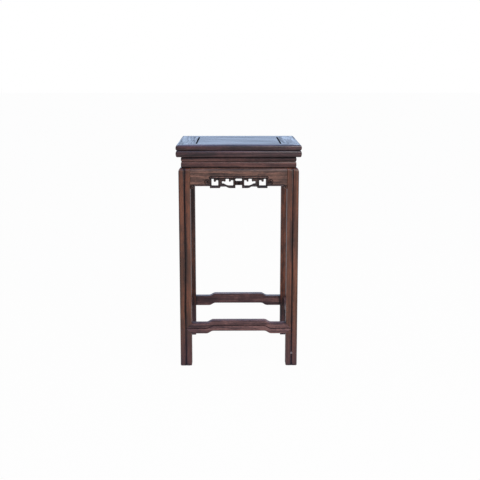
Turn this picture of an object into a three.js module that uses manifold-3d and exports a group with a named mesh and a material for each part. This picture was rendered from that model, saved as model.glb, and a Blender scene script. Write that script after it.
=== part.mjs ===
// A square side table in dark hardwood: a mitred frame top with a floating panel, a moulded
// waist, four beaded legs, aprons with pierced key-fret work and hump-back stretchers.
// Millimetres, +Z up, the middle of the footprint at the origin, the front towards -Y.
import * as THREE from 'three';
import { mergeVertices } from 'three/addons/utils/BufferGeometryUtils.js';
import Module from 'manifold-3d';

const wasm = await Module();
wasm.setup();

// Driving dimensions: the top
const topWidth = 380;
const tableHeight = 694;
const edgeBeadHeight = 15.8;
const edgeBeadBulge = 4.2;
const railWidth = 58;
const railDepth = 26;
const panelThickness = 11;
const panelSlot = 5.2;
const panelHairline = 0.5;
const tongueDepth = 8;
const tongueThickness = 5;
const tongueDrop = 5.8;
const mitreTenonHeight = 7;
const mitreTenonLength = 20;
const mitreTenonDrop = 14.5;
const mitreTenonWidth = 14;
const mitreTenonInset = 6;

// Driving dimensions: the strip under the top and the waist
const underStripHeight = 19.9;
const underStripBulge = 4.2;
const waistInset = 14.8;
const waistThickness = 10;
const waistBulge = 2.6;
const waistHeight = 14;
const lowerWaistHeight = 18.6;

// Driving dimensions: battens
const battenWidth = 28;
const battenHeight = 13;
const battenSpacing = 120;
const battenTenonLength = 12;

// Driving dimensions: legs
const legInset = 7;
const legWidth = 35.5;
const legBeadRelief = 3;
const legCornerRadius = 4.5;
const legBeadFullness = 0.65;
const outerBeadCrest = 0.75;
const postWidth = 17;
const postTenonHeight = 14;
const shoulderRise = 12.5;
const shoulderRun = 9;
const footChamfer = 1.2;

// Driving dimensions: aprons
const apronRecess = 1.5;
const apronThickness = 15;
const apronBoardHeight = 55;
const fretDrop = 6;
const apronTenonLength = 14;
const apronTenonThickness = 6;
const apronTenonHeight = 30;
const apronTenonInset = 6;
const fretBar = 6.8;
const fretThinBar = 5;
const fretHeight = 28;
const centreWindowHalf = 10;
const centreWindowHeight = 8.2;
const centreBarLift = 9.2;
const centreBarHeight = 11.4;
const innerWindowEnd = 50.8;
const outerWindowStart = 62.3;
const outerWindowEnd = 82.6;
const endCurlWidth = 11;
const endCurlDrop = 8;
const endCurlGap = 3;

// Driving dimensions: the fretwork's knobs, lobes and swelling bars
const knobDrop = 8.6;
const knobHalf = 3.5;
const knobTipHalf = 2;
const knobNose = 2;
const innerKnobPlace = 10;
const innerKnobHalf = 3;
const innerKnobTipHalf = 1;
const sideDrop = 4;
const fretCut = 1;
const centreWindowCut = 3;
const lobeLength = 5;
const lobeHeight = 8;
const lobeCut = 1.5;
const lobeKnobWidth = 6;
const swellStart = 10;
const swellMiddle = 16;
const swellEnd = 21.5;
const swellStep = 1.2;
const swellLift = 4.6;
const swellGap = 2.5;
const hollowStart = 15;
const hollowMiddle = 21;
const hollowEnd = 29;
const hollowStep = 1.8;
const hollowLift = 6.1;

// Driving dimensions: stretchers
const stretcherHeight = 33;
const stretcherThickness = 24;
const stretcherEndBottom = 104.7;
const humpRise = 8.5;
const humpFlatHalf = 80;
const humpRamp = 21;
const stretcherTenonLength = 17;
const stretcherTenonHeight = 18;
const stretcherTenonThickness = 8;
const mitreNoseDepth = 6;
const mitreNoseSpread = 1.5;

// The clearance that every joint keeps, how far a cut runs past a face, and how finely curves are cut
const clearance = 0.3;
const overrun = 1;
const beadSteps = 6;
const rampSteps = 6;
const curlSteps = 6;
const weldDistance = 0.001;

// Levels and reaches that follow from the sizes above
const halfTop = topWidth / 2;
const panelReach = halfTop - railWidth;
const underStripTop = tableHeight - edgeBeadHeight - clearance;
const underStripBottom = underStripTop - underStripHeight;
const waistTop = underStripBottom - clearance;
const waistBottom = waistTop - waistHeight;
const lowerWaistTop = waistBottom - clearance;
const shoulderLevel = lowerWaistTop - lowerWaistHeight;
const apronTop = shoulderLevel - clearance;
const waistFace = halfTop - waistInset;
const waistBack = waistFace - waistThickness;
const legReach = halfTop - legInset;
const legInner = legReach - legWidth;
const legCentre = legReach - legWidth / 2;
const apronFace = legReach - apronRecess;
const apronBack = apronFace - apronThickness;
const apronBottom = apronTop - apronBoardHeight;

const wood = {
  rail: { color: 0x5a3a34, roughness: 0.38, metalness: 0 },
  panel: { color: 0x563833, roughness: 0.36, metalness: 0 },
  moulding: { color: 0x54362f, roughness: 0.42, metalness: 0 },
  leg: { color: 0x5c3d37, roughness: 0.42, metalness: 0 },
  apron: { color: 0x614440, roughness: 0.45, metalness: 0 },
  hidden: { color: 0x6a4c40, roughness: 0.7, metalness: 0 },
};

// Turns a closed geometry into a solid that can be joined and cut.
function solid(geometry) {
  const bare = geometry.clone();
  bare.deleteAttribute('normal');
  bare.deleteAttribute('uv');
  const merged = mergeVertices(bare, weldDistance);
  const vertProperties = new Float32Array(merged.attributes.position.array);
  const triVerts = new Uint32Array(merged.index.array);
  return new wasm.Manifold(new wasm.Mesh({ numProp: 3, vertProperties, triVerts }));
}

// Turns a finished solid back into a geometry.
function geometryOf(body) {
  const mesh = body.getMesh();
  const geometry = new THREE.BufferGeometry();
  const places = new Float32Array(mesh.vertProperties);
  geometry.setAttribute('position', new THREE.BufferAttribute(places, 3));
  geometry.setIndex(new THREE.BufferAttribute(new Uint32Array(mesh.triVerts), 1));
  return geometry;
}

// A box between two corners.
function box(low, high) {
  const geometry = new THREE.BoxGeometry(high[0] - low[0], high[1] - low[1], high[2] - low[2]);
  geometry.translate((low[0] + high[0]) / 2, (low[1] + high[1]) / 2, (low[2] + high[2]) / 2);
  return solid(geometry);
}

const vectors = (points) => points.map(([x, y]) => new THREE.Vector2(x, y));

// Extrudes a front-view outline over a depth behind the reach given.
function boardOf(points, reach, depth) {
  const shape = new THREE.Shape(vectors(points));
  const geometry = new THREE.ExtrudeGeometry(shape, { depth, bevelEnabled: false });
  geometry.rotateX(Math.PI / 2);
  geometry.translate(0, depth - reach, 0);
  return solid(geometry);
}

// Carries a closed section of (reach, level) points through stations; each station places
// a section point in space. Both ends are capped.
function loft(outline, stations) {
  const isClockwise = THREE.ShapeUtils.isClockWise(vectors(outline));
  const section = isClockwise ? outline.slice().reverse() : outline;
  const count = section.length;
  const ringAt = (place) => section.flatMap(([reach, level]) => place(reach, level));
  const positions = stations.flatMap(ringAt);
  const index = [];
  for (let s = 0; s + 1 < stations.length; s += 1) {
    for (let i = 0; i < count; i += 1) {
      const a = s * count + i;
      const b = s * count + ((i + 1) % count);
      index.push(a, b, a + count, b, b + count, a + count);
    }
  }
  const caps = THREE.ShapeUtils.triangulateShape(vectors(section), []);
  const last = (stations.length - 1) * count;
  for (const [a, b, c] of caps) {
    index.push(c, b, a);
    index.push(last + a, last + b, last + c);
  }
  const geometry = new THREE.BufferGeometry();
  geometry.setAttribute('position', new THREE.Float32BufferAttribute(positions, 3));
  geometry.setIndex(facingOut(positions, index));
  return solid(geometry);
}

// Gives the triangles in the order that makes the enclosed volume positive.
function facingOut(positions, index) {
  const corner = (i) => new THREE.Vector3().fromArray(positions, 3 * i);
  let volume = 0;
  for (let i = 0; i < index.length; i += 3) {
    volume += corner(index[i]).dot(corner(index[i + 1]).cross(corner(index[i + 2])));
  }
  return volume > 0 ? index : index.slice().reverse();
}

// Half-round bead points on an upright face, from the level top down to the level bottom.
function bead(reach, bulge, top, bottom) {
  const middle = (top + bottom) / 2;
  const half = (top - bottom) / 2;
  const points = [];
  for (let i = 0; i <= beadSteps; i += 1) {
    const angle = Math.PI / 2 - (Math.PI * i) / beadSteps;
    points.push([reach + bulge * Math.cos(angle), middle + half * Math.sin(angle)]);
  }
  return points;
}

// A length of moulding along the front whose ends are mitred at 45 degrees.
function mitred(section, gap) {
  return loft(section, [
    (reach, level) => [-(reach - gap), -reach, level],
    (reach, level) => [reach - gap, -reach, level],
  ]);
}

const sides = [
  { name: 'front', turn: 0 },
  { name: 'right', turn: Math.PI / 2 },
  { name: 'back', turn: Math.PI },
  { name: 'left', turn: -Math.PI / 2 },
];
const corners = [
  { name: 'front_right', turn: 0 },
  { name: 'back_right', turn: Math.PI / 2 },
  { name: 'back_left', turn: Math.PI },
  { name: 'front_left', turn: -Math.PI / 2 },
];
const table = new THREE.Group();

// Adds a finished solid as a named piece, turned about the upright middle line.
function addPiece(name, body, look, turn = 0) {
  const mesh = new THREE.Mesh(geometryOf(body), new THREE.MeshStandardMaterial(look));
  mesh.name = name;
  mesh.rotation.z = turn;
  table.add(mesh);
}

// Top rails
const grooveTop = tableHeight - tongueDrop + clearance;
const grooveBottom = tableHeight - tongueDrop - tongueThickness - clearance;
const grooveReach = panelReach + tongueDepth + clearance;
const railBottom = tableHeight - railDepth;
const railStep = waistBack + 2 * clearance;
const railSection = [
  [panelReach, tableHeight],
  ...bead(halfTop - edgeBeadBulge, edgeBeadBulge, tableHeight, tableHeight - edgeBeadHeight),
  [railStep, tableHeight - edgeBeadHeight],
  [railStep, railBottom],
  [panelReach, railBottom],
  [panelReach, grooveBottom],
  [grooveReach, grooveBottom],
  [grooveReach, grooveTop],
  [panelReach, grooveTop],
];
const plainRail = mitred(railSection, clearance / 2);

// The tenon that crosses each mitre, or the mortise for it, at the right end of the front rail.
const mitreTenonReach = panelReach + tongueDepth + mitreTenonInset;
const tenonTop = tableHeight - mitreTenonDrop + mitreTenonHeight;
function mitreTenon(side, gap) {
  const start = side * (mitreTenonReach - overrun);
  const end = side * (mitreTenonReach + mitreTenonWidth + mitreTenonLength / 2 + gap);
  return box(
    [Math.min(start, end), -(mitreTenonReach + mitreTenonWidth + gap), tenonTop - mitreTenonHeight - gap],
    [Math.max(start, end), -(mitreTenonReach - gap), tenonTop + gap],
  );
}

// The blind mortise over each leg's post.
function postMortise(side) {
  const outer = waistBack - clearance;
  const inner = outer - postWidth;
  const low = Math.min(side * (inner - clearance), side * (outer + clearance));
  const high = Math.max(side * (inner - clearance), side * (outer + clearance));
  const top = railBottom + postTenonHeight + 2 * clearance;
  return box([low, -(outer + clearance), railBottom - overrun], [high, -(inner - clearance), top]);
}

// The pocket in the front and back rails for the end of a batten.
const battenTop = tableHeight - panelThickness - clearance;
const battenBottom = battenTop - battenHeight;
function battenPocket(place) {
  const half = battenWidth / 2 + clearance;
  const end = panelReach + battenTenonLength + clearance;
  return box(
    [place - half, -end, battenBottom - clearance],
    [place + half, -(panelReach - overrun), battenTop + clearance / 2],
  );
}

const battenPlaces = [-battenSpacing / 2, battenSpacing / 2];
let longRail = plainRail.add(mitreTenon(1, 0)).add(mitreTenon(-1, 0));
let shortRail = plainRail;
for (const side of [-1, 1]) {
  longRail = longRail.subtract(postMortise(side));
  shortRail = shortRail.subtract(postMortise(side));
}
for (const place of battenPlaces) {
  longRail = longRail.subtract(battenPocket(place));
}
// A long rail's tenon, seen from the short rail it enters, lies across the short rail's end.
const crossing = mitreTenon(1, clearance);
shortRail = shortRail.subtract(crossing.rotate([0, 0, -90]));
shortRail = shortRail.subtract(crossing.mirror([1, 0, 0]).rotate([0, 0, 90]));
for (const { name, turn } of sides) {
  const isLong = name === 'front' || name === 'back';
  addPiece(`top_rail_${name}`, isLong ? longRail : shortRail, wood.rail, turn);
}

// The floating panel, its tongue in the rails' grooves, slack across the left and right edges
const panelHalfX = panelReach - panelSlot;
const panelHalfY = panelReach - panelHairline;
const tongueReach = panelReach + tongueDepth;
const panelBody = box(
  [-panelHalfX, -panelHalfY, tableHeight - panelThickness],
  [panelHalfX, panelHalfY, tableHeight],
);
const tongue = box(
  [-tongueReach, -tongueReach, tableHeight - tongueDrop - tongueThickness],
  [tongueReach, tongueReach, tableHeight - tongueDrop],
);
addPiece('top_panel', panelBody.add(tongue), wood.panel);

// Battens under the panel, housed at both ends in the long rails
battenPlaces.forEach((place, i) => {
  const reach = panelReach + battenTenonLength;
  const half = battenWidth / 2;
  const body = box([place - half, -reach, battenBottom], [place + half, reach, battenTop]);
  addPiece(`panel_batten_${i + 1}`, body, wood.hidden);
});

// The strip under the edge and the two waist strips, each a mitred ring of four pieces
const stripRings = [
  {
    name: 'under_edge_strip',
    back: railStep + clearance,
    face: halfTop,
    bulge: underStripBulge,
    top: underStripTop,
    bottom: underStripBottom,
  },
  {
    name: 'waist_strip',
    back: waistBack,
    face: waistFace,
    bulge: waistBulge,
    top: waistTop,
    bottom: waistBottom,
  },
  {
    name: 'lower_waist_strip',
    back: waistBack,
    face: waistFace,
    bulge: waistBulge,
    top: lowerWaistTop,
    bottom: shoulderLevel,
  },
];
for (const ring of stripRings) {
  const face = bead(ring.face - ring.bulge, ring.bulge, ring.top, ring.bottom);
  const section = [[ring.back, ring.top], ...face, [ring.back, ring.bottom]];
  const strip = mitred(section, clearance / 2);
  for (const { name, turn } of sides) {
    addPiece(`${ring.name}_${name}`, strip, wood.moulding, turn);
  }
}

// Points of a face with two side by side beads, between two places along it. A fullness under 1
// makes the beads fuller than half round, so that the groove between them is narrow.
function beadedFace(from, to, reach) {
  const width = (to - from) / 2;
  const points = [];
  for (let b = 0; b < 2; b += 1) {
    for (let i = b === 0 ? 0 : 1; i <= beadSteps; i += 1) {
      const angle = Math.PI - (Math.PI * i) / beadSteps;
      const along = from + width * b + (width / 2) * (1 + Math.cos(angle));
      const swell = Math.max(Math.sin(angle), 0) ** legBeadFullness;
      points.push([along, reach - legBeadRelief * (1 - swell)]);
    }
  }
  return points;
}

// Stretchers: a beaded section carried along the hump, with V-shaped noses over the legs
const outlineStations = [];
for (let i = 0; i <= rampSteps; i += 1) {
  outlineStations.push(humpFlatHalf + (humpRamp * i) / rampSteps);
}
const stretcherStations = [
  -legCentre,
  ...outlineStations.map((x) => -x).reverse(),
  ...outlineStations,
  legCentre,
];
function humpLift(x) {
  const t = Math.min(Math.max((Math.abs(x) - humpFlatHalf) / humpRamp, 0), 1);
  return humpRise * (1 - t * t * (3 - 2 * t));
}
const stretcherBack = legReach - stretcherThickness;
const stretcherTop = stretcherEndBottom + stretcherHeight;
const stretcherMiddle = (stretcherEndBottom + stretcherTop) / 2;
const stretcherSection = [
  [stretcherBack, stretcherEndBottom],
  ...beadedFace(stretcherEndBottom, stretcherTop, legReach).map(([level, reach]) => [reach, level]),
  [stretcherBack, stretcherTop],
];
const wholeStretcher = loft(
  stretcherSection,
  stretcherStations.map((x) => (reach, level) => [x, -reach, level + humpLift(x)]),
);

// A V-shaped prism, with its apex in the middle of the leg's face, grown by a gap.
function noseWedge(side, gap) {
  const apex = side * (legCentre + mitreNoseSpread * gap);
  const base = side * (legInner - overrun);
  const half = stretcherHeight / 2 + gap;
  const outline = [
    [base, stretcherMiddle - half],
    [apex, stretcherMiddle],
    [base, stretcherMiddle + half],
  ];
  return boardOf(outline, legReach + overrun, mitreNoseDepth + gap + overrun);
}

// A stretcher's tenon, or with a gap the mortise for it.
const tenonFace = legReach - (stretcherThickness - stretcherTenonThickness) / 2;
function stretcherTenon(side, gap) {
  const ends = [side * (legInner - overrun), side * (legInner + stretcherTenonLength + 2 * gap)];
  const half = stretcherTenonHeight / 2 + gap;
  return box(
    [Math.min(...ends), -(tenonFace + gap), stretcherMiddle - half],
    [Math.max(...ends), -(tenonFace - stretcherTenonThickness - gap), stretcherMiddle + half],
  );
}
const span = legInner - clearance;
let stretcherRoom = box([-span, -halfTop, 0], [span, 0, tableHeight]);
for (const side of [-1, 1]) {
  stretcherRoom = stretcherRoom.add(noseWedge(side, 0));
}
let stretcher = wholeStretcher.intersect(stretcherRoom);
for (const side of [-1, 1]) {
  stretcher = stretcher.add(stretcherTenon(side, 0));
}
for (const { name, turn } of sides) {
  addPiece(`stretcher_${name}`, stretcher, wood.leg, turn);
}

// Aprons: a board with a rounded top edge, tenons, end curls and the pierced key-fret
const fretBottom = apronBottom - fretDrop;
const fretTop = apronBottom - fretDrop + fretHeight;
const apronEnd = legInner - clearance;
const frameEnd = outerWindowEnd + fretThinBar;
const innerFrameEnd = outerWindowStart - fretThinBar;
const innerBarOuter = centreWindowHalf + fretBar;
const lowBarLevel = fretBottom + fretBar;
const knobTip = fretTop - knobDrop;
const sideTop = fretTop - sideDrop;
const lobeBottom = lowBarLevel + hollowLift;
const lobeTop = lobeBottom + lobeHeight;

// The apron's outline: the fretwork's lower edge, a curl at each end, and the straight top.
function fretOutline() {
  const half = [
    [centreWindowHalf, fretBottom + centreBarLift],
    [centreWindowHalf, fretBottom],
    [innerBarOuter + swellStart, fretBottom],
    [innerBarOuter + swellMiddle, fretBottom + swellStep],
    [innerBarOuter + swellEnd, fretBottom + swellLift],
    [innerFrameEnd - swellGap, fretBottom + swellLift],
    [innerFrameEnd, fretBottom],
    [frameEnd, fretBottom],
    [frameEnd, apronBottom],
    [apronEnd - endCurlWidth - endCurlGap, apronBottom],
  ];
  const radius = endCurlWidth / 2;
  const [middleX, middleZ] = [apronEnd - radius, apronBottom - endCurlDrop + radius];
  for (let i = 0; i <= curlSteps; i += 1) {
    const angle = Math.PI + (Math.PI / 2) * (i / curlSteps);
    half.push([middleX + radius * Math.cos(angle), middleZ + radius * Math.sin(angle)]);
  }
  half.push([apronEnd, apronBottom - endCurlDrop]);
  half.push([apronEnd, apronTop]);
  const mirrored = half.map(([x, z]) => [-x, z]).reverse();
  return [...mirrored, ...half];
}

// The windows cut through the fretwork: an outer and an inner one on each side, one in the middle.
function windowOutlines() {
  const knob = (outerWindowStart + outerWindowEnd) / 2;
  const outer = [
    [outerWindowStart, lowBarLevel],
    [outerWindowEnd, lowBarLevel],
    [outerWindowEnd, fretTop],
    [knob + knobHalf, fretTop],
    [knob + knobHalf, knobTip + knobNose],
    [knob + knobTipHalf, knobTip],
    [knob - knobTipHalf, knobTip],
    [knob - knobHalf, knobTip + knobNose],
    [knob - knobHalf, sideTop],
    [outerWindowStart + fretCut, sideTop],
    [outerWindowStart, sideTop - fretCut],
  ];
  const lobeStart = innerWindowEnd - lobeLength;
  const innerKnob = innerBarOuter + innerKnobPlace;
  const inner = [
    [innerBarOuter, lowBarLevel],
    [innerBarOuter + hollowStart, lowBarLevel],
    [innerBarOuter + hollowMiddle, lowBarLevel + hollowStep],
    [innerBarOuter + hollowEnd, lobeBottom],
    [innerWindowEnd - lobeCut, lobeBottom],
    [innerWindowEnd, lobeBottom + lobeCut],
    [innerWindowEnd, lobeTop - lobeCut],
    [innerWindowEnd - lobeCut, lobeTop],
    [lobeStart, lobeTop],
    [lobeStart - lobeCut, knobTip + fretCut],
    [lobeStart - lobeCut - knobNose, knobTip],
    [lobeStart - lobeKnobWidth, knobTip + knobNose],
    [lobeStart - lobeKnobWidth, fretTop - fretCut],
    [lobeStart - lobeKnobWidth - fretCut, fretTop],
    [innerKnob + innerKnobHalf + fretCut, fretTop],
    [innerKnob + innerKnobHalf, fretTop - fretCut],
    [innerKnob + innerKnobHalf, knobTip + knobNose],
    [innerKnob + innerKnobTipHalf, knobTip],
    [innerKnob - innerKnobTipHalf, knobTip],
    [innerKnob - innerKnobHalf, knobTip + knobNose],
    [innerKnob - innerKnobHalf, sideTop],
    [innerBarOuter + fretCut, sideTop],
    [innerBarOuter, sideTop - fretCut],
  ];
  const low = fretBottom + centreBarLift + centreBarHeight;
  const high = low + centreWindowHeight;
  const centre = [
    [-centreWindowHalf, low],
    [centreWindowHalf, low],
    [centreWindowHalf, high - centreWindowCut],
    [centreWindowHalf - centreWindowCut, high],
    [-centreWindowHalf + centreWindowCut, high],
    [-centreWindowHalf, high - centreWindowCut],
  ];
  const mirror = (points) => points.map(([x, z]) => [-x, z]).reverse();
  return [outer, mirror(outer), inner, mirror(inner), centre];
}

function apronBoard() {
  let board = boardOf(fretOutline(), apronFace, apronThickness);
  for (const points of windowOutlines()) {
    board = board.subtract(boardOf(points, apronFace + overrun, apronThickness + 2 * overrun));
  }
  return board;
}

// The waste outside a rounded top edge, carried along the front past both ends.
function shoulderWaste(reach) {
  const section = [];
  for (let i = 0; i <= beadSteps; i += 1) {
    const angle = (Math.PI / 2) * (i / beadSteps);
    section.push([
      reach - shoulderRun * (1 - Math.cos(angle)),
      shoulderLevel - shoulderRise * (1 - Math.sin(angle)),
    ]);
  }
  section.push([reach - shoulderRun, shoulderLevel + overrun]);
  section.push([reach + overrun, shoulderLevel + overrun]);
  section.push([reach + overrun, shoulderLevel - shoulderRise]);
  return loft(section, [
    (d, level) => [-halfTop, -d, level],
    (d, level) => [halfTop, -d, level],
  ]);
}

// An apron's tenon, or with a gap the mortise for it.
const apronTenonFace = apronFace - (apronThickness - apronTenonThickness) / 2;
const apronTenonTop = apronTop - apronTenonInset - shoulderRise;
function apronTenon(side, gap) {
  const ends = [side * (legInner - overrun), side * (legInner + apronTenonLength + 2 * gap)];
  return box(
    [Math.min(...ends), -(apronTenonFace + gap), apronTenonTop - apronTenonHeight - gap],
    [Math.max(...ends), -(apronTenonFace - apronTenonThickness - gap), apronTenonTop + gap],
  );
}
let apron = apronBoard().subtract(shoulderWaste(apronFace));
for (const side of [-1, 1]) {
  apron = apron.add(apronTenon(side, 0));
}
for (const { name, turn } of sides) {
  addPiece(`apron_${name}`, apron, wood.apron, turn);
}

// Legs: a square section with beads on the two outer faces, drawn at the front right corner
function legSection() {
  const inner = [legInner, -legInner];
  const crest = legInner + outerBeadCrest * legWidth + weldDistance;
  const face = beadedFace(legInner, legReach, legReach).filter(([along]) => along <= crest);
  const front = face.map(([x, reach]) => [x, -reach]);
  const right = face.map(([y, reach]) => [reach, -y]).reverse();
  const corner = [];
  const middle = legReach - legCornerRadius;
  for (let i = 0; i <= beadSteps / 2; i += 1) {
    const angle = (-Math.PI / 2) * (1 - (2 * i) / beadSteps);
    const x = middle + legCornerRadius * Math.cos(angle);
    const y = -middle + legCornerRadius * Math.sin(angle);
    corner.push([x, y]);
  }
  return [inner, ...front, ...corner, ...right];
}

// The leg with its chamfered foot and its post, before its joints are cut.
function legBody() {
  const place = (level, inset) => (x, y) => [
    x + inset * Math.sign(legCentre - x),
    y + inset * Math.sign(-legCentre - y),
    level,
  ];
  const body = loft(legSection(), [
    place(0, footChamfer),
    place(footChamfer, 0),
    place(shoulderLevel - clearance, 0),
  ]);
  const outer = waistBack - clearance;
  const post = box(
    [outer - postWidth, -outer, shoulderLevel - 2 * overrun],
    [outer, -(outer - postWidth), railBottom + postTenonHeight],
  );
  return body.add(post);
}
const acrossCorner = (body) => body.mirror([1, 0, 0]).rotate([0, 0, 90]);
const legCuts = [
  shoulderWaste(legReach).translate([0, 0, -clearance]),
  noseWedge(1, clearance),
  stretcherTenon(1, clearance),
  apronTenon(1, clearance),
];
let leg = legBody();
for (const cut of legCuts) {
  leg = leg.subtract(cut).subtract(acrossCorner(cut));
}
for (const { name, turn } of corners) {
  addPiece(`leg_${name}`, leg, wood.leg, turn);
}

export default table;
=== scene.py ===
"""A square side table in waxed dark hardwood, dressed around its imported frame.

Metres, +Z up, the front towards -Y. The four carved aprons are made here; all the other pieces
are the frame's own solids with their seams welded and shaded.
"""
import math
from collections import namedtuple

import bpy
import numpy as np
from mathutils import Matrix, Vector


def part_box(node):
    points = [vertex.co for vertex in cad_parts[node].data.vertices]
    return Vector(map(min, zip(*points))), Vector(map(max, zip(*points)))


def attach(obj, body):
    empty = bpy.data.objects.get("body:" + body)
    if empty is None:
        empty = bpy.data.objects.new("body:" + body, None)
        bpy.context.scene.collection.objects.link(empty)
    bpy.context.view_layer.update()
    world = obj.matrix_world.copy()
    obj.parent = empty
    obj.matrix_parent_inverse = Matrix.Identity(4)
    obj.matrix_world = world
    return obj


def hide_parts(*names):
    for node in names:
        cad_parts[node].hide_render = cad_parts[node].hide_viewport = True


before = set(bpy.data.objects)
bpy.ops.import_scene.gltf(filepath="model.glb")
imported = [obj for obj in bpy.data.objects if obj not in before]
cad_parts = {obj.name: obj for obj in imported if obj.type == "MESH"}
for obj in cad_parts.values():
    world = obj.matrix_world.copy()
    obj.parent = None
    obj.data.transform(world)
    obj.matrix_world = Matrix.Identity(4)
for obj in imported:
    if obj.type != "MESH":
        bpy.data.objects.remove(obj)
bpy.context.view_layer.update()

MM = 0.001

# The sides of the table, in quarter turns from the front
SIDES = {"front": 0, "right": 1, "back": 2, "left": 3}

# Camera, as fitted to the photograph: 480 pixels square, focal length and place in this frame
IMAGE_SIZE = 480
FOCAL_PIXELS = 892.8
SENSOR = 36.0
CAMERA_SIDE = 5.4 * MM
CAMERA_DISTANCE = 2873.2 * MM
CAMERA_HEIGHT = 925.7 * MM
CAMERA_PITCH = math.radians(10.985)
TABLE_YAW = math.radians(0.482)


def make_camera():
    """Places the camera at the photograph's viewpoint, turned against the table's small yaw."""
    data = bpy.data.cameras.new("camera")
    data.sensor_width = SENSOR
    data.lens = FOCAL_PIXELS / IMAGE_SIZE * SENSOR
    camera = bpy.data.objects.new("camera", data)
    bpy.context.collection.objects.link(camera)
    c, s = math.cos(-TABLE_YAW), math.sin(-TABLE_YAW)
    x, y = CAMERA_SIDE, -CAMERA_DISTANCE
    camera.location = (c * x - s * y, s * x + c * y, CAMERA_HEIGHT)
    camera.rotation_euler = (math.pi / 2 - CAMERA_PITCH, 0, -TABLE_YAW)
    bpy.context.scene.camera = camera


make_camera()


# Colour and node helpers
def srgb(code, alpha=1.0):
    """Turns an sRGB hex colour into the linear one that the shader takes."""
    parts = np.array([int(code[i:i + 2], 16) for i in (1, 3, 5)]) / 255.0
    linear = np.where(parts <= 0.04045, parts / 12.92, ((parts + 0.055) / 1.055) ** 2.4)
    return (*linear.tolist(), alpha)


def add(tree, kind, settings=None, values=None, links=None, stops=None):
    """Adds a node with its own settings, socket values, linked inputs and ramp colours."""
    node = tree.nodes.new(kind)
    for key, value in (settings or {}).items():
        setattr(node, key, value)
    for key, value in (values or {}).items():
        node.inputs[key].default_value = value
    for key, socket in (links or {}).items():
        tree.links.new(socket, node.inputs[key])
    if stops:
        elements = node.color_ramp.elements
        while len(elements) < len(stops):
            elements.new(0.5)
        for element, (place, code) in zip(elements, stops):
            element.position = place
            element.color = srgb(code)
    return node


# Dark hardwood of the rosewood kind, planed and waxed. To the eye it is a red or plum brown with
# dark pores and streaks along the grain, under a soft gloss that pores and fine wear break up.
# A pixel of the photograph spans some 3 mm, so streaks and pores are drawn several times as
# coarse as the real ones, to show. Clouds of tone lie over them, and the grain wanders slowly.
GRAIN_TURN = {"x": (0, math.pi / 2, 0), "y": (math.pi / 2, 0, 0), "z": (0, 0, 0)}
SEED_STEP = (0.37, 0.21, 0.53)
STREAK_WIDTH = 7 * MM
STREAK_LENGTH = 200 * MM
PORE_WIDTH = 1.5 * MM
PORE_LENGTH = 12.5 * MM
PORE_DEPTH = 0.3 * MM
PORE_STRENGTH = 0.35
WANDER = 12 * MM
WANDER_LENGTH = 1000 / 6 * MM
CLOUD_LENGTH = 1000 / 9 * MM
CLOUD_SHARE = 0.75
TONE_LEVELS = (0.68, 0.87, 1.0)
PORE_STOPS = [(0.34, "#4c4644"), (0.5, "#ffffff")]
PORE_SHARE = 0.8
WOOD_IOR = 1.52

# Wax and polish: dense streaks are smoother and hold more wax than open ones
POLISH_FROM = 0.3
POLISH_TO = 0.7
ROUGHER = 0.16
SMOOTHER = 0.08
WAX_FROM = 0.4
WAX_TO = 0.62
LEAST_WAX = 0.1
MOST_WAX = 1.2
WAX_ROUGHNESS = 0.22

# Painted shade with some dirt in every crevice, and scuffs that fade out up the feet
CREVICE_REACH = 9 * MM
CREVICE_STOPS = [(0.52, "#1c1415"), (0.88, "#ffffff")]
SHADE_AND_GRIME = "#150d0e"
SCUFF = "#3a2c42"
SCUFF_SHARE = 0.5
SCUFF_HEIGHT = 170 * MM

# Wear, painted highlight and painted shade on a leg's two beads, at distances from the groove between them
LEG_GROOVE = (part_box("leg_front_right")[0].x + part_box("leg_front_right")[1].x) / 2
OUTER_FACE = 12.5 * MM
GROOVE_BOTTOM = 0.8 * MM
GROOVE_WIDTH = 3.2 * MM
CREST_FROM = 4 * MM
CREST_TO = 9 * MM
CREST_SHARE = 0.28
CORNER_FROM = 13.5 * MM
CORNER_TO = 17.5 * MM
CORNER_SHARE = 0.7
ARRIS_FROM = 15.5 * MM
ARRIS_TO = 17.5 * MM
ARRIS_SHARE = 0.75
# The pale colour of the painted highlight, with some wear, on the bead crests and the inner arris
RUBBED_AND_HIGHLIGHT = "#80553e"

# The one pale chip, in the front right leg's groove just over the floor
CHIP_PLACE = (0.1655, -0.1805, 0.041)
CHIP_SIZE = 4.5 * MM
CHIP_SHARE = 0.8
CHIP = "#cfc9cf"

# The panel's tongues lie in slots that have opened at its two ends
PANEL_TONGUE = 8 * MM
PANEL_SLOT = 5.2 * MM
PANEL_MARGIN = 0.05 * MM
PANEL_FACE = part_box("top_panel")[1].x - PANEL_TONGUE - PANEL_SLOT + PANEL_MARGIN
SLOT_SHADE = "#0c0908"


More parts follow.
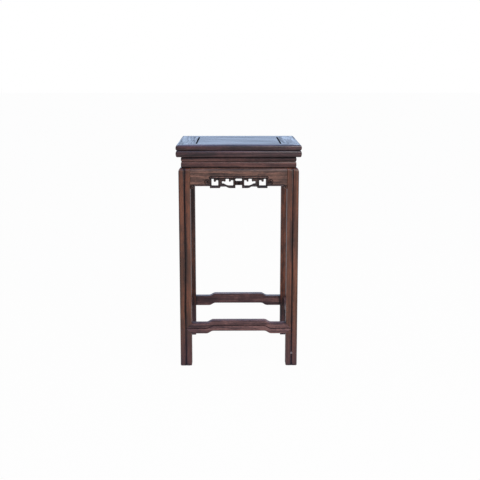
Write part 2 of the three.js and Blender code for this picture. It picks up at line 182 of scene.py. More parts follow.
def grain(tree, place, way, seed):
    """Streaks and pores stretched along the grain, and clouds of tone, each from 0 to 1."""
    turned = add(tree, "ShaderNodeMapping", values={"Rotation": GRAIN_TURN[way]},
                 links={"Vector": place}).outputs["Vector"]
    shift = tuple(seed * step for step in SEED_STEP)
    shifted = add(tree, "ShaderNodeMapping", values={"Location": shift},
                  links={"Vector": turned}).outputs["Vector"]
    wander = add(tree, "ShaderNodeTexNoise", values={"Scale": 1 / WANDER_LENGTH, "Detail": 2.0},
                 links={"Vector": shifted}).outputs["Color"]
    bent = add(tree, "ShaderNodeVectorMath", {"operation": "MULTIPLY_ADD"}, {1: (WANDER, WANDER, 0)},
               {0: wander, 2: shifted}).outputs[0]
    long = add(tree, "ShaderNodeMapping", values={"Scale": (1, 1, STREAK_WIDTH / STREAK_LENGTH)},
               links={"Vector": bent}).outputs["Vector"]
    streak = add(tree, "ShaderNodeTexNoise",
                 values={"Scale": 1 / STREAK_WIDTH, "Detail": 6.0, "Roughness": 0.62},
                 links={"Vector": long}).outputs["Fac"]
    short = add(tree, "ShaderNodeMapping", values={"Scale": (1, 1, PORE_WIDTH / PORE_LENGTH)},
                links={"Vector": bent}).outputs["Vector"]
    pore = add(tree, "ShaderNodeTexNoise",
               values={"Scale": 1 / PORE_WIDTH, "Detail": 3.0, "Roughness": 0.7},
               links={"Vector": short}).outputs["Fac"]
    cloud = add(tree, "ShaderNodeTexNoise",
                values={"Scale": 1 / CLOUD_LENGTH, "Detail": 8.0, "Roughness": 0.78},
                links={"Vector": shifted}).outputs["Fac"]
    return streak, pore, cloud


def bead_places(tree, place):
    """Where a point lies on a leg's faces, measured from the grooves.

    The two sideways offsets are the distances from the middle less the groove's own. The larger
    one tells whether the point is on an outer face, and the smaller one runs across that face,
    from the leg's inner arris to its outer corner.
    """
    reach = add(tree, "ShaderNodeVectorMath", {"operation": "ABSOLUTE"}, links={0: place}).outputs[0]
    offset = add(tree, "ShaderNodeVectorMath", {"operation": "SUBTRACT"},
                 {1: (LEG_GROOVE, LEG_GROOVE, 0)}, {0: reach}).outputs[0]
    axes = add(tree, "ShaderNodeSeparateXYZ", links={0: offset}).outputs
    furthest = add(tree, "ShaderNodeMath", {"operation": "MAXIMUM"},
                   links={0: axes["X"], 1: axes["Y"]}).outputs[0]
    outside = add(tree, "ShaderNodeMath", {"operation": "GREATER_THAN"}, {1: OUTER_FACE},
                  {0: furthest}).outputs[0]
    across = add(tree, "ShaderNodeMath", {"operation": "MINIMUM"},
                 links={0: axes["X"], 1: axes["Y"]}).outputs[0]
    closest = add(tree, "ShaderNodeMath", {"operation": "ABSOLUTE"}, links={0: across}).outputs[0]
    return outside, across, closest


def leg_wear_and_painted_light(tree, place, colour):
    """A leg's colour with its bead crests and inner arris rubbed pale and given a painted highlight, and
    how much painted shade, with some grime, lies in its groove and outer corner.
    """
    outside, across, closest = bead_places(tree, place)
    # Painted highlight with some wear: the bead crests and the inner arris are made paler.
    crest = add(tree, "ShaderNodeMapRange", {"interpolation_type": "SMOOTHSTEP"},
                {"From Min": CREST_FROM, "From Max": CREST_TO, "To Max": CREST_SHARE},
                {"Value": closest}).outputs[0]
    arris = add(tree, "ShaderNodeMapRange",
                values={"From Min": -ARRIS_TO, "From Max": -ARRIS_FROM, "To Min": ARRIS_SHARE,
                        "To Max": 0.0}, links={"Value": across}).outputs[0]
    worn_and_lit = add(tree, "ShaderNodeMath", {"operation": "MAXIMUM"}, links={0: crest, 1: arris}).outputs[0]
    rubbed_and_lit = add(tree, "ShaderNodeMath", {"operation": "MULTIPLY"}, links={0: worn_and_lit, 1: outside}).outputs[0]
    paler = add(tree, "ShaderNodeMix", {"data_type": "RGBA"}, {7: srgb(RUBBED_AND_HIGHLIGHT)},
                {0: rubbed_and_lit, 6: colour}).outputs[2]
    # Painted shade with some grime: the groove between the beads and the leg's outer corner are darkened.
    groove = add(tree, "ShaderNodeMapRange",
                 values={"From Min": GROOVE_BOTTOM, "From Max": GROOVE_WIDTH, "To Min": 1.0, "To Max": 0.0},
                 links={"Value": closest}).outputs[0]
    corner = add(tree, "ShaderNodeMapRange",
                 values={"From Min": CORNER_FROM, "From Max": CORNER_TO, "To Max": CORNER_SHARE},
                 links={"Value": across}).outputs[0]
    both = add(tree, "ShaderNodeMath", {"operation": "MAXIMUM"}, links={0: groove, 1: corner}).outputs[0]
    shade_and_grime = add(tree, "ShaderNodeMath", {"operation": "MULTIPLY"}, links={0: both, 1: outside}).outputs[0]
    return paler, shade_and_grime


def chipped(tree, place, colour):
    """The colour with the pale chip in it, full within half its size and gone at its size."""
    gap = add(tree, "ShaderNodeVectorMath", {"operation": "DISTANCE"}, {1: CHIP_PLACE},
              {0: place}).outputs["Value"]
    chip = add(tree, "ShaderNodeMapRange",
               values={"From Min": CHIP_SIZE / 2, "From Max": CHIP_SIZE, "To Min": CHIP_SHARE,
                       "To Max": 0.0}, links={"Value": gap}).outputs[0]
    return add(tree, "ShaderNodeMix", {"data_type": "RGBA"}, {7: srgb(CHIP)},
               {0: chip, 6: colour}).outputs[2]


def slotted(tree, place, colour, rough, waxed):
    """The panel's colour, roughness and wax, black, dull and bare past its seen face."""
    side = add(tree, "ShaderNodeSeparateXYZ", links={0: place}).outputs["X"]
    reach = add(tree, "ShaderNodeMath", {"operation": "ABSOLUTE"}, links={0: side}).outputs[0]
    seen = add(tree, "ShaderNodeMath", {"operation": "LESS_THAN"}, {1: PANEL_FACE}, {0: reach}).outputs[0]
    clean = add(tree, "ShaderNodeMix", {"data_type": "RGBA"}, {6: srgb(SLOT_SHADE)},
                {0: seen, 7: colour}).outputs[2]
    dull = add(tree, "ShaderNodeMapRange", values={"To Min": 1.0, "To Max": 0.0},
               links={"Value": seen}).outputs[0]
    most = add(tree, "ShaderNodeMath", {"operation": "MAXIMUM"}, links={0: dull, 1: rough}).outputs[0]
    kept = add(tree, "ShaderNodeMath", {"operation": "MULTIPLY"}, links={0: seen, 1: waxed}).outputs[0]
    return clean, most, kept


def hardwood(name, way, tones, roughness, wax, seed, leg=False, panel=False):
    """Waxed hardwood in three tones, with its pores, painted shade and dirt in crevices, painted shade and
    grime, and scuffed feet.

    Carved pieces carry their painted shade and dirt in a point attribute, and a leg's comes from its beads,
    whose crests also get a painted highlight.
    """
    material = bpy.data.materials.new(name)
    material.use_nodes = True
    tree = material.node_tree
    place = add(tree, "ShaderNodeTexCoord").outputs["Object"]
    streak, pore, cloud = grain(tree, place, way, seed)
    tone = add(tree, "ShaderNodeMath", {"operation": "MULTIPLY_ADD"}, {1: CLOUD_SHARE},
               {0: cloud, 2: streak}).outputs[0]
    wood = add(tree, "ShaderNodeValToRGB", links={"Fac": tone},
               stops=list(zip(TONE_LEVELS, tones))).outputs["Color"]
    pits = add(tree, "ShaderNodeValToRGB", links={"Fac": pore}, stops=PORE_STOPS).outputs["Color"]
    pitted = add(tree, "ShaderNodeMix", {"data_type": "RGBA", "blend_type": "MULTIPLY"}, {0: PORE_SHARE},
                 {6: wood, 7: pits}).outputs[2]
    # Painted shade, with some dirt: ambient occlusion darkens the colour in crevices and where parts meet.
    crevice = add(tree, "ShaderNodeAmbientOcclusion", {"samples": 4},
                  {"Distance": CREVICE_REACH}).outputs["AO"]
    shade_and_dirt = add(tree, "ShaderNodeValToRGB", links={"Fac": crevice}, stops=CREVICE_STOPS).outputs["Color"]
    colour = add(tree, "ShaderNodeMix", {"data_type": "RGBA", "blend_type": "MULTIPLY"}, {0: 1.0},
                 {6: pitted, 7: shade_and_dirt}).outputs[2]
    if leg:
        colour, shade_and_grime = leg_wear_and_painted_light(tree, place, colour)
    else:
        shade_and_grime = add(tree, "ShaderNodeAttribute", {"attribute_name": "shade_and_soil"}).outputs["Fac"]
    # Painted shade with grime and dirt is mixed in here, from the leg's beads or from a carved piece's
    # point attribute.
    colour = add(tree, "ShaderNodeMix", {"data_type": "RGBA"}, {7: srgb(SHADE_AND_GRIME)},
                 {0: shade_and_grime, 6: colour}).outputs[2]
    if leg:
        colour = chipped(tree, place, colour)
    height = add(tree, "ShaderNodeSeparateXYZ", links={0: place}).outputs["Z"]
    scuff = add(tree, "ShaderNodeMapRange",
                values={"From Max": SCUFF_HEIGHT, "To Min": SCUFF_SHARE, "To Max": 0.0},
                links={"Value": height}).outputs[0]
    colour = add(tree, "ShaderNodeMix", {"data_type": "RGBA"}, {7: srgb(SCUFF)},
                 {0: scuff, 6: colour}).outputs[2]
    rough = add(tree, "ShaderNodeMapRange",
                values={"From Min": POLISH_FROM, "From Max": POLISH_TO, "To Min": roughness + ROUGHER,
                        "To Max": roughness - SMOOTHER}, links={"Value": streak}).outputs[0]
    waxed = add(tree, "ShaderNodeMapRange",
                values={"From Min": WAX_FROM, "From Max": WAX_TO, "To Min": LEAST_WAX * wax,
                        "To Max": MOST_WAX * wax}, links={"Value": streak}).outputs[0]
    relief = add(tree, "ShaderNodeBump", values={"Strength": PORE_STRENGTH, "Distance": PORE_DEPTH},
                 links={"Height": pore}).outputs[0]
    if panel:
        colour, rough, waxed = slotted(tree, place, colour, rough, waxed)
    shader = tree.nodes["Principled BSDF"]
    shader.inputs["IOR"].default_value = WOOD_IOR
    shader.inputs["Coat Roughness"].default_value = WAX_ROUGHNESS
    tree.links.new(colour, shader.inputs["Base Color"])
    tree.links.new(rough, shader.inputs["Roughness"])
    tree.links.new(waxed, shader.inputs["Coat Weight"])
    tree.links.new(relief, shader.inputs["Normal"])
    return material


# The dark, middle and light tone of each look, read off the photograph: the sheltered waist and
# the aprons are duller and greyer than the legs, and the top is the most purple
PLUM = ("#201015", "#3c2023", "#573130")
REDDISH = ("#1f0f0b", "#4c2719", "#744029")
BROWNER = ("#2a1a17", "#5c4036", "#825d4f")
DUSKY = ("#2b191a", "#5d3d3c", "#8a625d")
RUSSET = ("#1f0f10", "#4b2b2a", "#6d443c")
looks = {
    "rail_x": hardwood("waxed_hardwood_rail_x", "x", PLUM, roughness=0.30, wax=0.85, seed=1),
    "rail_y": hardwood("waxed_hardwood_rail_y", "y", PLUM, roughness=0.32, wax=0.8, seed=2),
    "panel": hardwood("waxed_hardwood_panel", "x", PLUM, roughness=0.28, wax=0.65, seed=3, panel=True),
    "leg": hardwood("waxed_hardwood_leg", "z", REDDISH, roughness=0.33, wax=0.35, seed=8, leg=True),
    "batten": hardwood("planed_hardwood_batten", "y", BROWNER, roughness=0.7, wax=0.0, seed=11),
}
for base, tones, roughness, wax, seed in (
    ("edge", PLUM, 0.34, 0.7, 4),
    ("waist", RUSSET, 0.34, 0.4, 12),
    ("apron", BROWNER, 0.40, 0.25, 6),
    ("stretcher", DUSKY, 0.42, 0.15, 9),
):
    for way, turned_seed in (("x", seed), ("y", seed + 1)):
        key = f"{base}_{way}"
        looks[key] = hardwood(f"waxed_hardwood_{key}", way, tones, roughness, wax, turned_seed)


def along_side(base, side):
    """The look of a piece whose grain runs along its side of the table."""
    return looks[f"{base}_x" if side in ("front", "back") else f"{base}_y"]


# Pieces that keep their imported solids: welded, and shaded smooth across shallow edges
SMOOTH_ANGLE = math.radians(38)
WELD_DISTANCE = 0.02 * MM


def smoothing_group():
    """Merges doubled vertices, shades all faces smooth and splits edges sharper than the angle."""
    group = bpy.data.node_groups.new("weld_and_shade", "GeometryNodeTree")
    for way in ("INPUT", "OUTPUT"):
        group.interface.new_socket("Geometry", in_out=way, socket_type="NodeSocketGeometry")
    source = add(group, "NodeGroupInput").outputs[0]
    merged = add(group, "GeometryNodeMergeByDistance", values={"Distance": WELD_DISTANCE},
                 links={"Geometry": source}).outputs[0]
    smooth = add(group, "GeometryNodeSetShadeSmooth", {"domain": "FACE"}, {"Shade Smooth": True},
                 {"Geometry": merged}).outputs[0]
    angle = add(group, "GeometryNodeInputMeshEdgeAngle").outputs[0]
    sharp = add(group, "FunctionNodeCompare", {"data_type": "FLOAT", "operation": "GREATER_THAN"},
                {"B": SMOOTH_ANGLE}, {"A": angle}).outputs[0]
    split = add(group, "GeometryNodeSetShadeSmooth", {"domain": "EDGE"}, {"Shade Smooth": False},
                {"Geometry": smooth, "Selection": sharp}).outputs[0]
    add(group, "NodeGroupOutput", links={0: split})
    return group


smoothing = smoothing_group()


def shade(piece, material):
    """Gives a piece its one material and the weld-and-shade modifier."""
    piece.data.materials.clear()
    piece.data.materials.append(material)
    modifier = piece.modifiers.new("weld_and_shade", "NODES")
    modifier.node_group = smoothing


for name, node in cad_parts.items():
    side = name.split("_")[-1]
    if name.startswith("leg_"):
        shade(node, looks["leg"])
    elif name.startswith("stretcher_"):
        shade(node, along_side("stretcher", side))
    elif name.startswith("top_rail_"):
        shade(node, along_side("rail", side))
    elif name.startswith("top_panel"):
        shade(node, looks["panel"])
    elif name.startswith("panel_batten"):
        shade(node, looks["batten"])
    elif name.startswith("under_edge_strip"):
        shade(node, along_side("edge", side))
    elif "waist_strip" in name:
        shade(node, along_side("waist", side))


# Carved aprons: boards with windows cut through and relief worked into the face. Everything is in
# millimetres in the front apron's plane: x from its middle, z up from the fretwork's lowest edge,
# which lies at FRET_BOTTOM over the floor.
apron_low, apron_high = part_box("apron_front")
CLEARANCE = 0.3
APRON_FACE = -apron_low.y / MM
APRON_BACK = -apron_high.y / MM
APRON_TOP = apron_high.z / MM
APRON_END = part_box("leg_front_right")[0].x / MM - CLEARANCE
CURL_WIDTH = 11.0
CURL_DROP = 8.0
CURL_GAP = 3.0
FRET_DROP = 6.0
BOARD_BOTTOM = apron_low.z / MM + CURL_DROP
FRET_BOTTOM = BOARD_BOTTOM - FRET_DROP
SHOULDER_RISE = 12.5
SHOULDER_RUN = 9.0
SHOULDER_LIMIT = 0.999

# The fretwork's bars and windows
FRET_TOP = 28.0
FRET_BAR = 6.8
FRET_THIN_BAR = 5.0
CENTRE_HALF = 10.0
CENTRE_LIFT = 9.2
CENTRE_LOW = 20.6
CENTRE_HIGH = 28.8
INNER_START = CENTRE_HALF + FRET_BAR
INNER_END = 50.8
OUTER_START = 62.3
OUTER_END = 82.6
SIDE_TOP = FRET_TOP - 4
WINDOW_CORNER = 1.0
CENTRE_CORNER = 2.5

# The bar that swells downwards, and the hollow that its window makes over it
SWELL = [(10, 0), (16, 1.2), (21.5, 4.6)]
SWELL_GAP = 2.5
HOLLOW = [(15, 0), (21, 1.8), (29, 6.1)]

# The knobs that hang into the windows and the lobe beside them
KNOB_TIP = FRET_TOP - 8.6
KNOB_NOSE = KNOB_TIP + 2
OUTER_KNOB = (68.9, 76.0)
OUTER_KNOB_TIP = (70.4, 74.4)
INNER_KNOB = (23.8, 29.8)
INNER_KNOB_TIP = (25.8, 27.8)
LOBE_BOTTOM = FRET_BAR + HOLLOW[-1][1]
LOBE_TOP = LOBE_BOTTOM + 8
LOBE_START = INNER_END - 5
LOBE_KNOB = LOBE_START - 6
LOBE_KNOB_TIP = (LOBE_START - 3.5, LOBE_START - 1.5)

# Carving: rounded rims, raised lines with a groove on each flank, scrolls and drilled eyes
RIM_RADIUS = 1.2
GROOVE_RUN = 2.2
GROOVE_START = 0.8
LINE_CORNER = 1.6
BAND_LEVEL = 32.6
BAND_END = 86.6
FRAME_LINES = (59.9, 85.1)
FRAME_LINE_LEVEL = 3.3
BAR_LINE = [(55.5, 7.6), (38.5, 7.6), (32.0, 5.2), (26.5, 3.4), (13.4, 3.4), (13.4, BAND_LEVEL)]
SCROLL_CENTRE = (96.3, 19.4)
CURL_CENTRE = (APRON_END - CURL_WIDTH / 2, FRET_DROP - 2.4)
END_LINE = (90.5, APRON_END - 11.5)
END_LINE_LEVEL = FRET_DROP + 1.5
CENTRE_LINE_LEVELS = (11.2, 14.8, 18.4)
CENTRE_LINE_END = 9.6
EYE_DEPTH = 1.6
EYE_WALL = 1.4
EYES = [(95.6, 20.2, 2.4), (*CURL_CENTRE, 2.0), (54.4, 16.5, 1.5), (54.4, 23.5, 1.5), (20.3, 29.6, 1.1),
        (34.8, 29.6, 0.9)]

# Painted shade and dirt on the carving: how dark, how far from an edge, how far out along the apron, and
# how dark the back face is made
EDGE_SHADE_AND_DIRT = 0.85
EDGE_SHADE_FULL = 1.5
EDGE_SHADE_END = 7.5
FRET_SHADE_END = 89.0
GROOVE_SHADE_AND_DIRT = 1.3
BACK_DARKENING = 0.4

# The mesh is fine over the fretwork and coarse above it, and curves have a set count of points. A
# rounded corner takes up no more than MOST_CUT of the sides that meet there.
FINE_CELL = 0.62
COARSE_CELL = 1.3
FINE_REACH = 108.0
FINE_TOP = 36.0
CORNER_POINTS = 4
CURL_POINTS = 9
SCROLL_POINTS = 25
MOST_CUT = 0.45

Line = namedtuple("Line", "path half rise groove")


def mirror(points):
    """The mirror image of points about the middle of the apron."""
    return np.asarray(points, float) * (-1, 1)


def rounded(points, radius, closed=True):
    """Rounds each corner of a polyline with a quadratic curve between its cut-back points."""
    points = [np.array(point, float) for point in points]
    ring = points[-1:] + points + points[:1] if closed else points
    out = [] if closed else [points[0]]
    for before, corner, after in zip(ring, ring[1:], ring[2:]):
        to_before, to_after = before - corner, after - corner
        start = corner + to_before * min(radius / np.linalg.norm(to_before), MOST_CUT)
        end = corner + to_after * min(radius / np.linalg.norm(to_after), MOST_CUT)
        for t in np.linspace(0, 1, CORNER_POINTS):
            out.append((1 - t) ** 2 * start + 2 * t * (1 - t) * corner + t * t * end)
    if not closed:
        out.append(points[-1])
    return np.array(out)


def spiral(centre, outer, inner, turns, start):
    """Runs an angle through the turns while the radius falls evenly from outer to inner."""
    t = np.linspace(0, 1, SCROLL_POINTS)
    angle = start + 2 * math.pi * turns * t
    reach = outer + (inner - outer) * t
    return np.stack([centre[0] + reach * np.cos(angle), centre[1] + reach * np.sin(angle)], 1)


def lower_edge():
    """The apron's lower edge from its middle to the right end, with a quarter circle at the curl."""
    frame_start = OUTER_START - FRET_THIN_BAR
    frame_end = OUTER_END + FRET_THIN_BAR
    swell = [(INNER_START + run, level) for run, level in SWELL]
    fret = [(CENTRE_HALF, CENTRE_LIFT), (CENTRE_HALF, 0), *swell, (frame_start - SWELL_GAP, swell[-1][1]),
            (frame_start, 0), (frame_end, 0), (frame_end, FRET_DROP),
            (APRON_END - CURL_WIDTH - CURL_GAP, FRET_DROP)]
    radius = CURL_WIDTH / 2
    middle = (APRON_END - radius, FRET_DROP - CURL_DROP + radius)
    angle = np.linspace(math.pi, 1.5 * math.pi, CURL_POINTS)
    curl = np.stack([middle[0] + radius * np.cos(angle), middle[1] + radius * np.sin(angle)], 1)
    return np.concatenate([fret, curl, [(APRON_END, FRET_DROP - CURL_DROP)]]) + (0, FRET_BOTTOM)


def hanging_knob(edges, tips):
    """A knob that hangs from the fretwork's top, from its right edge round to its left one."""
    return [(edges[1], FRET_TOP), (edges[1], KNOB_NOSE), (tips[1], KNOB_TIP), (tips[0], KNOB_TIP),
            (edges[0], KNOB_NOSE), (edges[0], SIDE_TOP)]


def window_edges():
    """The right half's two windows, their mirror images and the middle window."""
    outer = [(OUTER_START, FRET_BAR), (OUTER_END, FRET_BAR), (OUTER_END, FRET_TOP),
             *hanging_knob(OUTER_KNOB, OUTER_KNOB_TIP), (OUTER_START, SIDE_TOP)]
    hollow = [(INNER_START + run, FRET_BAR + level) for run, level in HOLLOW]
    lobe = [(INNER_END, LOBE_BOTTOM), (INNER_END, LOBE_TOP), (LOBE_START, LOBE_TOP),
            (LOBE_KNOB_TIP[1], KNOB_TIP + 1), (LOBE_KNOB_TIP[0], KNOB_TIP), (LOBE_KNOB, KNOB_NOSE),
            (LOBE_KNOB, FRET_TOP)]
    inner = [(INNER_START, FRET_BAR), *hollow, *lobe, *hanging_knob(INNER_KNOB, INNER_KNOB_TIP),
             (INNER_START, SIDE_TOP)]
    centre = [(-CENTRE_HALF, CENTRE_LOW), (CENTRE_HALF, CENTRE_LOW), (CENTRE_HALF, CENTRE_HIGH),
              (-CENTRE_HALF, CENTRE_HIGH)]
    rings = [rounded(ring, WINDOW_CORNER) + (0, FRET_BOTTOM) for ring in (outer, inner)]
    middle = rounded(centre, CENTRE_CORNER) + (0, FRET_BOTTOM)
    return [*rings, *[mirror(ring) for ring in rings], middle]


def nearest(places, path):
    """Distance from each place to a polyline, and the nearest point on it."""
    best = np.full(len(places), np.inf)
    foot = places.copy()
    for a, b in zip(path[:-1], path[1:]):
        along = b - a
        t = np.clip((places - a) @ along / max(along @ along, 1e-9), 0, 1)
        point = a + t[:, None] * along
        distance = np.linalg.norm(places - point, axis=1)
        closer = distance < best
        best[closer] = distance[closer]
        foot[closer] = point[closer]
    return best, foot


def nearest_of(places, paths):
    """The nearest distance and point over several polylines."""
    found = [nearest(places, path) for path in paths]
    pick = np.argmin([distance for distance, _ in found], axis=0)
    each = np.arange(len(places))
    return np.array([d for d, _ in found])[pick, each], np.array([f for _, f in found])[pick, each]


def within(places, rings):
    """Even-odd test: inside is where a ray to the right crosses the rings an odd number of times."""
    odd = np.zeros(len(places), bool)
    for ring in rings:
        for (x0, z0), (x1, z1) in zip(ring, np.roll(ring, -1, axis=0)):
            if z0 != z1:
                spans = (z0 > places[:, 1]) != (z1 > places[:, 1])
                crossing = x0 + (x1 - x0) * (places[:, 1] - z0) / (z1 - z0)
                odd ^= spans & (places[:, 0] < crossing)
    return odd


def relief_lines():
    """The carving's raised lines: path, half width, height and the depth of the flanking grooves.

    A band runs over the fretwork. On each side a line follows the bars around each window, a
    scroll and a short line fill the end, a small scroll sits in the curl, and three bars cross
    the middle.
    """
    left, right = FRAME_LINES
    frame_line = [(left, BAND_LEVEL), (left, FRAME_LINE_LEVEL), (right, FRAME_LINE_LEVEL),
                  (right, BAND_LEVEL)]
    scroll = spiral(SCROLL_CENTRE, outer=6.4, inner=3.6, turns=0.9, start=math.pi + 0.9)
    curl = spiral(CURL_CENTRE, outer=4.0, inner=2.8, turns=1.2, start=2.6)
    lines = [
        Line([(-BAND_END, BAND_LEVEL), (BAND_END, BAND_LEVEL)], half=1.6, rise=1.1, groove=1.3),
        Line(rounded(frame_line, LINE_CORNER, closed=False), half=1.5, rise=0.9, groove=0.7),
        Line(rounded(BAR_LINE, LINE_CORNER, closed=False), half=1.5, rise=0.9, groove=0.7),
        Line(scroll, half=1.0, rise=0.9, groove=1.5),
        Line(curl, half=1.1, rise=0.9, groove=1.3),
        Line([(x, END_LINE_LEVEL) for x in END_LINE], half=1.4, rise=0.5, groove=0.8),
    ]
    for level in CENTRE_LINE_LEVELS:
        lines.append(Line([(0, level), (CENTRE_LINE_END, level)], half=1.3, rise=0.8, groove=0.9))
    lines = [line._replace(path=np.array(line.path) + (0, FRET_BOTTOM)) for line in lines]
    return lines + [line._replace(path=mirror(line.path)) for line in lines[1:]]


def carve(places, edge):
    """Height of the face over its plane, and how much painted shade and dirt lies there, from 0 to 1.

    Edges are rounded by a quarter circle of RIM_RADIUS. A raised line stands out as half an ellipse
    and has a sine-shaped groove on each flank. An eye is a pit with a cosine wall. The top edge
    falls back as a quarter ellipse, cut short of its end at SHOULDER_LIMIT.
    """
    near_edge = np.clip(1 - edge / RIM_RADIUS, 0, 1)
    height = -RIM_RADIUS * (1 - np.sqrt(1 - near_edge ** 2))
    # Painted shade with dirt: darker near the window and lower edges over the fretwork, in the grooves
    # beside the raised lines and in the eyes.
    near_edge_shade = np.clip((EDGE_SHADE_END - edge) / (EDGE_SHADE_END - EDGE_SHADE_FULL), 0, 1)
    shade_and_soil = EDGE_SHADE_AND_DIRT * near_edge_shade * (np.abs(places[:, 0]) < FRET_SHADE_END)
    for path, half, rise, groove in relief_lines():
        distance, _ = nearest(places, path)
        flank = np.clip((distance - half) / GROOVE_RUN, 0, 1)
        cut = groove * np.sin(math.pi * flank)
        height += rise * np.sqrt(np.clip(1 - (distance / half) ** 2, 0, 1)) - cut * (edge > GROOVE_START)
        shade_and_soil = np.maximum(shade_and_soil, np.clip(GROOVE_SHADE_AND_DIRT * cut, 0, 1))
    for x, z, radius in EYES:
        for side in (-1, 1):
            distance = np.hypot(places[:, 0] - side * x, places[:, 1] - z - FRET_BOTTOM)
            pit = 0.5 + 0.5 * np.cos(math.pi * np.clip(distance / (EYE_WALL * radius), 0, 1))
            height -= EYE_DEPTH * pit
            shade_and_soil = np.maximum(shade_and_soil, pit)
    shoulder_bottom = APRON_TOP + CLEARANCE - SHOULDER_RISE
    back = np.clip((places[:, 1] - shoulder_bottom) / SHOULDER_RISE, 0, 1)
    height -= SHOULDER_RUN * (1 - np.sqrt(1 - np.minimum(back, SHOULDER_LIMIT) ** 2))
    return height, shade_and_soil


def spread(stops, cells):
    """Grid lines through the stops, with cells of about the given size between each pair."""
    lines = [np.linspace(a, b, max(int(round((b - a) / cell)), 1), endpoint=False)
             for a, b, cell in zip(stops, stops[1:], cells)]
    return np.concatenate([*lines, stops[-1:]])


def closed_loop(ring):
    """A ring's points with the first one again at the end."""
    return np.concatenate([ring, ring[:1]])


def apron_grid(rings):
    """Places on a grid over the board and the squares whose middle is inside the rings."""
    xs = spread([-APRON_END, -FINE_REACH, FINE_REACH, APRON_END],
                [COARSE_CELL / 2, FINE_CELL, COARSE_CELL / 2])
    zs = spread([BOARD_BOTTOM - CURL_DROP, FRET_BOTTOM + FINE_TOP, APRON_TOP], [FINE_CELL, COARSE_CELL])
    grid_x, grid_z = np.meshgrid(xs, zs, indexing="ij")
    places = np.stack([grid_x.ravel(), grid_z.ravel()], 1)
    i, j = np.meshgrid(np.arange(len(xs) - 1), np.arange(len(zs) - 1), indexing="ij")
    corner = (i * len(zs) + j).ravel()
    quads = np.stack([corner, corner + len(zs), corner + len(zs) + 1, corner + 1], 1)
    return places, quads[within(places[quads].mean(1), rings)]


def border_edges(quads, count):
    """The edges that only one square has, of squares on the given count of places."""
    sides = np.concatenate([quads[:, [k, (k + 1) % 4]] for k in range(4)])
    key = np.sort(sides, axis=1) @ np.array([count, 1])
    _, first, uses = np.unique(key, return_index=True, return_counts=True)
    return sides[first[uses == 1]]


def carved_apron():
    """Vertices, faces and painted shade and dirt of the front apron.

    A grid over the board keeps the squares that are in the wood, its border vertices are moved onto
    the outline, the face takes its height from carve(), and walls join it to a flat back.
    """
    edge_right = lower_edge()
    edge_path = np.concatenate([mirror(edge_right)[::-1], edge_right])
    outline = np.concatenate([edge_path, [(APRON_END, APRON_TOP), (-APRON_END, APRON_TOP)]])
    windows = window_edges()
    rings = [outline, *windows]
    places, quads = apron_grid(rings)
    border = border_edges(quads, len(places))
    rim = np.unique(border)
    places[rim] = nearest_of(places[rim], [closed_loop(ring) for ring in rings])[1]
    used = np.unique(quads)
    renumber = np.zeros(len(places), int)
    renumber[used] = np.arange(len(used))
    places, quads, border = places[used], renumber[quads], renumber[border]
    edge, _ = nearest_of(places, [edge_path, *[closed_loop(ring) for ring in windows]])
    height, shade_and_soil = carve(places, edge)
    face = np.stack([places[:, 0], -(APRON_FACE + height), places[:, 1]], 1)
    back = np.stack([places[:, 0], np.full(len(places), -APRON_BACK), places[:, 1]], 1)
    n = len(places)
    walls = np.stack([border[:, 1], border[:, 0], border[:, 0] + n, border[:, 1] + n], 1)
    faces = np.concatenate([quads, quads[:, ::-1] + n, walls])
    # The back face is darkened evenly.
    return np.concatenate([face, back]), faces, np.concatenate([shade_and_soil, np.full(n, BACK_DARKENING)])


def add_piece(name, vertices, faces, turn, material, shade_and_soil):
    """Turns the vertices by quarter turns, makes the mesh and lets it ride on the table."""
    points = vertices * MM
    c, s = round(math.cos(turn * math.pi / 2)), round(math.sin(turn * math.pi / 2))
    points[:, :2] = points[:, :2] @ np.array([[c, s], [-s, c]])
    mesh = bpy.data.meshes.new(name)
    mesh.from_pydata(points.tolist(), [], faces.tolist())
    # The point attribute holds the painted shade and dirt.
    shade_and_dirt = mesh.attributes.new("shade_and_soil", "FLOAT", "POINT")
    shade_and_dirt.data.foreach_set("value", shade_and_soil)
    mesh.update()
    piece = bpy.data.objects.new(name, mesh)
    bpy.context.collection.objects.link(piece)
    shade(piece, material)
    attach(piece, "root")
    return piece


apron_vertices, apron_faces, apron_shade_and_soil = carved_apron()
for side, turn in SIDES.items():
    carved = add_piece(f"carved_apron_{side}", apron_vertices, apron_faces, turn, along_side("apron", side),
                       apron_shade_and_soil)
    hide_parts(f"apron_{side}")


# Stage: a pale matt floor that lights the table from below. The camera sees it all but white, as
# the photograph's ground is, with only a trace of shadow under the feet.
FLOOR_SIZE = 60.0
FLOOR_COLOUR = "#d6d4d4"
FLOOR_ROUGHNESS = 0.9
FLOOR_GLOSS = 0.1
FLOOR_WHITENESS = 0.97
WHITE = (1, 1, 1, 1)


def make_stage():
    """A wide pale floor under the feet."""
    bpy.ops.mesh.primitive_plane_add(size=FLOOR_SIZE, location=(0, 0, 0))
    floor = bpy.context.object
    floor.name = "floor"
    material = bpy.data.materials.new("pale_floor")
    material.use_nodes = True
    tree = material.node_tree
    shader = tree.nodes["Principled BSDF"]
    shader.inputs["Base Color"].default_value = srgb(FLOOR_COLOUR)
    shader.inputs["Roughness"].default_value = FLOOR_ROUGHNESS
    shader.inputs["Specular IOR Level"].default_value = FLOOR_GLOSS
    camera_ray = add(tree, "ShaderNodeLightPath").outputs["Is Camera Ray"]
    share = add(tree, "ShaderNodeMath", {"operation": "MULTIPLY"}, {1: FLOOR_WHITENESS},
                {0: camera_ray}).outputs[0]
    white = add(tree, "ShaderNodeEmission", values={"Color": WHITE, "Strength": 1.0}).outputs[0]
    blend = add(tree, "ShaderNodeMixShader", links={0: share, 1: shader.outputs[0], 2: white}).outputs[0]
    tree.links.new(blend, tree.nodes["Material Output"].inputs["Surface"])
    floor.data.materials.append(material)


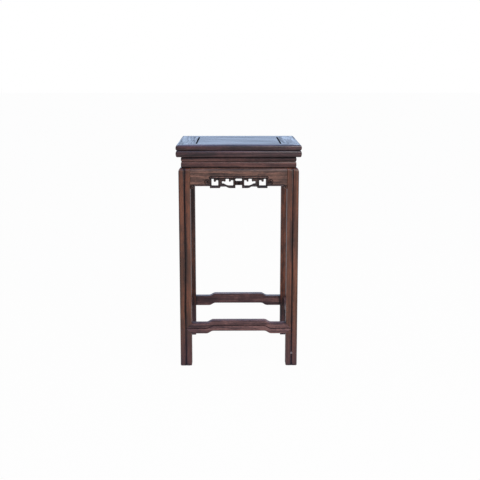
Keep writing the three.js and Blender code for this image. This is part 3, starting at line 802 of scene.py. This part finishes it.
# The key light: a large soft lamp in front, above and to the right, slightly warm
KEY_PLACE = (1.3, -2.6, 2.4)
KEY_TARGET = (0, 0, 0.4)
KEY_SIZE = 2.0
KEY_POWER = 70
KEY_COLOUR = "#fff4ea"


def area_light(name, place, target, size, power, colour):
    """A soft square lamp aimed at a point."""
    data = bpy.data.lights.new(name, "AREA")
    data.shape = "SQUARE"
    data.size = size
    data.energy = power
    data.color = srgb(colour)[:3]
    lamp = bpy.data.objects.new(name, data)
    bpy.context.collection.objects.link(lamp)
    lamp.location = place
    aim = np.array(target) - np.array(place)
    tilt = math.atan2(math.hypot(aim[0], aim[1]), -aim[2])
    lamp.rotation_euler = (tilt, 0, math.atan2(aim[1], aim[0]) - math.pi / 2)


# The sky that gloss reflects, dim in front, bright behind the table and brightest and bluest
# overhead, and the even fill that the wood takes from all round
SKY_FRONT = 0.5
SKY_BEHIND = 1.4
SKY_TURN = (-0.2, 0.7)
SKY_ABOVE = 1.6
SKY_CLIMB = (0.45, 0.95)
SKY_LOW_COLOUR = "#b6cdec"
SKY_HIGH_COLOUR = "#8cb0f6"
FILL_COLOUR = "#e6ecf6"
FILL_STRENGTH = 0.68


def make_world():
    """White to the camera, a cool pale sky to gloss and a softer neutral sky to diffuse light."""
    world = bpy.data.worlds.new("studio")
    bpy.context.scene.world = world
    world.use_nodes = True
    tree = world.node_tree
    back = tree.nodes["Background"]
    back.inputs["Color"].default_value = WHITE
    back.inputs["Strength"].default_value = 1.0
    rays = add(tree, "ShaderNodeLightPath").outputs
    way = add(tree, "ShaderNodeTexCoord").outputs["Generated"]
    axes = add(tree, "ShaderNodeSeparateXYZ", links={0: way}).outputs
    level = add(tree, "ShaderNodeMapRange", {"interpolation_type": "SMOOTHSTEP"},
                {"From Min": SKY_TURN[0], "From Max": SKY_TURN[1], "To Min": SKY_FRONT,
                 "To Max": SKY_BEHIND}, {"Value": axes["Y"]}).outputs[0]
    overhead = add(tree, "ShaderNodeMapRange", {"interpolation_type": "SMOOTHSTEP"},
                   {"From Min": SKY_CLIMB[0], "From Max": SKY_CLIMB[1]}, {"Value": axes["Z"]}).outputs[0]
    strength = add(tree, "ShaderNodeMix", {"data_type": "FLOAT"}, {3: SKY_ABOVE},
                   {0: overhead, 2: level}).outputs[0]
    hue = add(tree, "ShaderNodeMix", {"data_type": "RGBA"},
              {6: srgb(SKY_LOW_COLOUR), 7: srgb(SKY_HIGH_COLOUR)}, {0: overhead}).outputs[2]
    sky = add(tree, "ShaderNodeBackground", links={"Color": hue, "Strength": strength}).outputs[0]
    fill = add(tree, "ShaderNodeBackground",
               values={"Color": srgb(FILL_COLOUR), "Strength": FILL_STRENGTH}).outputs[0]
    glossy = add(tree, "ShaderNodeMixShader", links={0: rays["Is Glossy Ray"], 1: fill, 2: sky}).outputs[0]
    seen = add(tree, "ShaderNodeMixShader",
               links={0: rays["Is Camera Ray"], 1: glossy, 2: back.outputs[0]}).outputs[0]
    tree.links.new(seen, tree.nodes["World Output"].inputs["Surface"])


make_stage()
area_light("key_front", KEY_PLACE, KEY_TARGET, KEY_SIZE, KEY_POWER, KEY_COLOUR)
make_world()
bpy.context.scene.view_settings.view_transform = "Standard"
